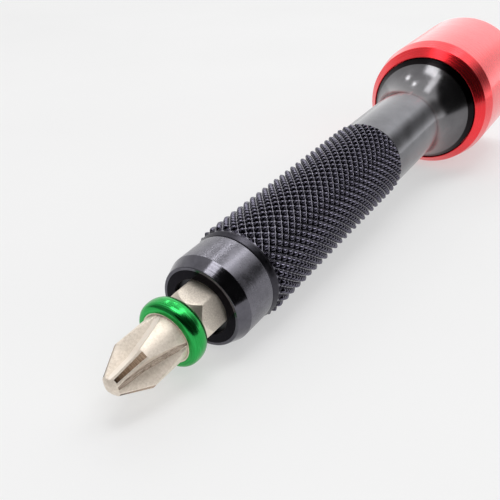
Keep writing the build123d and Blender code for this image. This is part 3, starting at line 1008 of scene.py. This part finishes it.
def one_zone(x, r):
    """The rule of a piece with one finish all over."""
    return 0


def ring_zone(x, r):
    """Number of the ring's finish: 0 green, 1 the plated lip at its front."""
    return int(r < RING_LIP_R + PLATED_HEIGHT and x < RING_FRONT_X + PLATED_LENGTH)


def collar_zone(x, r):
    """Number of the collar's finish: 0 the straight part, 1 the chamfer."""
    return int(x < COLLAR_CHAMFER_X)


def barrel_zone(x, r):
    """Number of the barrel's finish: 0 tooth tops, 1 groove walls painted darker as shade, 2 groove floors
    painted lighter as a highlight, 3 neck, 4 bevel painted darker as shade.
    """
    if x > KNURL_BACK_X:
        return 3
    if x < KNURL_START_X:
        return 4
    height = (r - KNURL_ROOT_R) / KNURL_DEPTH
    if height < GROOVE_FLOOR_HEIGHT:
        return 2
    if height < GROOVE_WALL_HEIGHT:
        return 1
    return 0


def bell_zone(x, r):
    """Number of the bell's finish: 0 the flare, 1 the rim, whose black is deeper as painted shade."""
    return int(r > BELL_R - BELL_RIM_WIDTH)


def finish_node(name, material):
    """Gives a CAD node that keeps its shape its material."""
    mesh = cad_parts[name].data
    mesh.materials.clear()
    mesh.materials.append(material)


# name: (tone, roughness, clouds per millimetre, strength of the turning marks)
BLACKS = {
    "collar": ((0.150, 0.146, 0.168), 0.27, 0.9, 0.5),
    "chamfer": ((0.115, 0.112, 0.130), 0.13, 0.9, 0.4),
    # the face round the mouth: near black, a painted shade
    "mouth": ((0.005, 0.004, 0.007), 0.16, 0.5, 0.25),
    # the band at the bell's rim: near black, a painted shade
    "rim": ((0.012, 0.010, 0.011), 0.20, 0.5, 0.25),
    "knurl": ((0.114, 0.108, 0.145), 0.24, 1.2, 0.2),
    # the knurl's groove walls: darker, a painted shade
    "groove": ((0.034, 0.031, 0.044), 0.24, 1.2, 0.2),
    # the knurl's groove floors: lighter than the tooth tops, a painted highlight
    "groove_floor_highlight": ((0.170, 0.165, 0.195), 0.26, 1.2, 0.2),
    # the bevel between collar and knurl: darker than the knurl, a painted shade
    "bevel": ((0.052, 0.050, 0.060), 0.34, 1.6, 0.8),
    "neck": ((0.150, 0.150, 0.162), 0.17, 0.2, 0.1),
    "bell": ((0.140, 0.137, 0.144), 0.20, 0.2, 0.05),
}
black = {}
for name, values in BLACKS.items():
    black[name] = black_anodised(name + "_black_anodised", *values)

nickel = satin_nickel()
green = green_anodised()
red = red_anodised()

point_finishes = (
    nickel,
    ground_steel(),
    shank_nickel(),
    shoulder_nickel(),
    streaked_shaded_nickel(),
    bright_nickel(),
)
point = phillips_bit(point_finishes)
stand_for(point, "bit", "bit_steel", "phillips_bit")

ring = bit_ring()
paint(ring, ring_zone, [green, nickel])
stand_for(ring, "bit", "ring_green", "bit_ring")

collar = nose_collar()
paint(collar, collar_zone, [black["collar"], black["chamfer"]])
stand_for(collar, "collar", "collar_black", "nose_collar")

face_ring = nose_face_ring()
# the face is painted near black as shade
paint(face_ring, one_zone, [black["mouth"]])
stand_for(face_ring, "collar", "collar_black", "nose_face_ring")

barrel = grip_barrel()
barrel_finishes = [black[name] for name in ("knurl", "groove", "groove_floor_highlight", "neck", "bevel")]
paint(barrel, barrel_zone, barrel_finishes)
stand_for(barrel, "barrel", "barrel_black", "grip_barrel")

bell = bell_flare()
paint(bell, bell_zone, [black["bell"], black["rim"]])
stand_for(bell, "barrel", "bell_black", "bell_flare")

shell = palm_shell()
paint(shell, one_zone, [red])
stand_for(shell, "palm", "palm_red", "palm_shell")

cap = palm_end_cap()
paint(cap, one_zone, [black["bell"]])
stand_for(cap, "end_cap", "cap_black", "palm_end_cap")

SPRING_TONE = (0.42, 0.40, 0.38)
SPRING_ROUGHNESS = 0.22

# name: (tone, roughness, CAD nodes that keep their shapes)
INNER_METALS = {
    "socket_black_oxide": ((0.05, 0.05, 0.055), 0.35, ["hex_socket"]),
    "clip_steel": (SPRING_TONE, SPRING_ROUGHNESS, ["collar_snap_ring", "bearing_circlip"]),
    "bearing_steel": ((0.62, 0.61, 0.60), 0.10, [
        "lock_ball_right",
        "lock_ball_left",
        "front_inner_race",
        "back_inner_race",
        "front_outer_race",
        "back_outer_race",
        "front_bearing_shields",
        "back_bearing_shields",
        "front_bearing_balls",
        "back_bearing_balls",
    ]),
    "magnet_nickel": ((0.68, 0.64, 0.58), 0.14, ["socket_magnet"]),
    "spindle_steel": ((0.50, 0.50, 0.50), 0.24, [
        "palm_spindle",
        "race_spacer",
        "spindle_washer",
        "spindle_screw",
    ]),
    "cage_brass": ((0.72, 0.50, 0.20), 0.24, ["front_bearing_cage", "back_bearing_cage"]),
}
for name, (tone, roughness, nodes) in INNER_METALS.items():
    metal = plain_metal(name, tone, roughness)
    for node in nodes:
        finish_node(node, metal)
finish_node("cap_o_ring", black_rubber())

# one end of the spring stays at the snap ring while the collar's rib pushes the other
spring = collar_spring()
paint(spring, one_zone, [plain_metal("spring_steel", SPRING_TONE, SPRING_ROUGHNESS)])
stand_for(spring, "barrel", "spring_steel", "collar_spring")
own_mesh(spring)


# ---------------------------------------------------------------- floor, light and camera

REST_FRONT = Vector((KNURL_FRONT_X, 0, -KNURL_R)) * MM
REST_BACK = Vector((PALM_EDGE_X, 0, -PALM_R)) * MM
DARK_SIDE = (-0.35, -0.88, 0.32)
DIM_SIDE = (-0.88, 0.35, 0.32)
DIM_CORNER = (0.79, -0.53, 0.30)
LIGHTS_CENTRE = Vector((0.03, 0, 0))
CAMERA_PLACE = Vector((-45.98, -40.07, 47.52)) * MM
CAMERA_TARGET = Vector((13.22, 1.71, 0)) * MM
CAMERA_UP = Vector((0.0795, 0, 0.9968))


def floor():
    """The surface that the tool lies on: it touches the front of the knurl and the palm's edge."""
    along = (REST_BACK - REST_FRONT).normalized()
    across = Vector((0, 1, 0))
    half = 1.5
    corners = []
    for a, b in ((-1, -1), (1, -1), (1, 1), (-1, 1)):
        corners.append((REST_FRONT + along * half * a + across * half * b) / MM)
    made = mesh_object("floor", [tuple(c) for c in corners], [(0, 1, 2, 3)])
    made.data.materials.append(pale_paper())


def backdrop():
    """A pale dome round the floor. Only the camera sees it: polished pieces reflect the room instead."""
    shape = bmesh.new()
    bmesh.ops.create_uvsphere(shape, u_segments=64, v_segments=32, radius=1.6)
    mesh = bpy.data.meshes.new("backdrop")
    shape.to_mesh(mesh)
    shape.free()
    mesh.shade_smooth()
    mesh.materials.append(pale_backdrop())
    made = bpy.data.objects.new("backdrop", mesh)
    bpy.context.scene.collection.objects.link(made)
    made.visible_diffuse = False
    made.visible_glossy = False
    made.visible_transmission = False
    made.visible_volume_scatter = False
    made.visible_shadow = False


def aim(thing, place, target, up):
    """Places an object and turns its -Z towards the target with its Y towards up."""
    back = (place - target).normalized()
    right = up.cross(back).normalized()
    above = back.cross(right)
    turn = Matrix((right, above, back)).transposed()
    thing.matrix_world = Matrix.Translation(place) @ turn.to_4x4()


def facing(tree, coordinates, direction):
    """How far a direction of the room lies towards the given one, as a dot product."""
    towards = tree.nodes.new("ShaderNodeVectorMath")
    towards.operation = "DOT_PRODUCT"
    towards.inputs[1].default_value = direction
    tree.links.new(coordinates.outputs["Generated"], towards.inputs[0])
    return towards.outputs["Value"]


def world_light(sky, dim, dark, corner):
    """A pale room, dim in front of the tip and in one corner and nearly black along one side."""
    world = bpy.data.worlds.new("soft_room")
    bpy.context.scene.world = world
    world.use_nodes = True
    tree = world.node_tree
    coordinates = tree.nodes.new("ShaderNodeTexCoord")
    ahead = facing(tree, coordinates, DIM_SIDE)
    aside = facing(tree, coordinates, DARK_SIDE)
    spread_out = tree.nodes.new("ShaderNodeMapRange")
    spread_out.inputs["From Min"].default_value = -1
    tree.links.new(ahead, spread_out.inputs["Value"])
    room = ramp(tree, spread_out.outputs["Result"], [
        (0.10, grey(1.6 * sky)),
        (0.32, grey(1.1 * sky)),
        (0.50, grey(0.9 * sky)),
        (0.70, grey(0.7 * sky)),
        (0.84, grey(dim)),
    ])
    shadow = ramp(tree, aside, [(0.0, grey(1)), (0.42, grey(1)), (0.50, grey(dark))])
    beyond = ramp(tree, facing(tree, coordinates, DIM_CORNER), [(0.93, grey(1)), (0.985, grey(corner))])
    light = multiplied(tree, multiplied(tree, room, shadow), beyond)
    tree.links.new(light, tree.nodes["Background"].inputs["Color"])


def softbox(name, direction, distance, size, power):
    """A rectangular light on one side of the tool, turned towards it, with sizes in metres."""
    light = bpy.data.lights.new(name, "AREA")
    light.shape = "RECTANGLE"
    light.size, light.size_y = size
    light.energy = power
    made = bpy.data.objects.new(name, light)
    bpy.context.scene.collection.objects.link(made)
    place = LIGHTS_CENTRE + Vector(direction).normalized() * distance
    aim(made, place, LIGHTS_CENTRE, Vector((1, 0, 0.01)))
    return made


def add_camera():
    """The camera, above the bit's side of the tool and in front of its tip."""
    camera_data = bpy.data.cameras.new("camera")
    camera_data.lens = 46.70
    camera_data.sensor_width = 36.0
    camera_data.clip_start = 0.001
    camera = bpy.data.objects.new("camera", camera_data)
    bpy.context.scene.collection.objects.link(camera)
    aim(camera, CAMERA_PLACE, CAMERA_TARGET, CAMERA_UP)
    bpy.context.scene.camera = camera


floor()
backdrop()
world_light(sky=1.10, dim=0.25, dark=0.02, corner=0.14)
softbox("ceiling", (0.12, 0.06, 0.99), 0.70, (0.26, 0.20), 0.85)
softbox("ceiling_strip", (0.42, -0.18, 0.89), 0.70, (0.14, 0.50), 0.70)
softbox("lamp_left", (0.52, 0.60, 0.62), 0.60, (0.05, 0.05), 0.10)
softbox("lamp_right", (0.65, 0.33, 0.69), 0.60, (0.05, 0.05), 0.10)
fill = softbox("fill", (-0.30, -0.75, 0.60), 0.50, (0.50, 0.50), 1.10)
fill.visible_glossy = False
add_camera()
bpy.context.scene.view_settings.view_transform = "Standard"

bpy.context.view_layer.update()
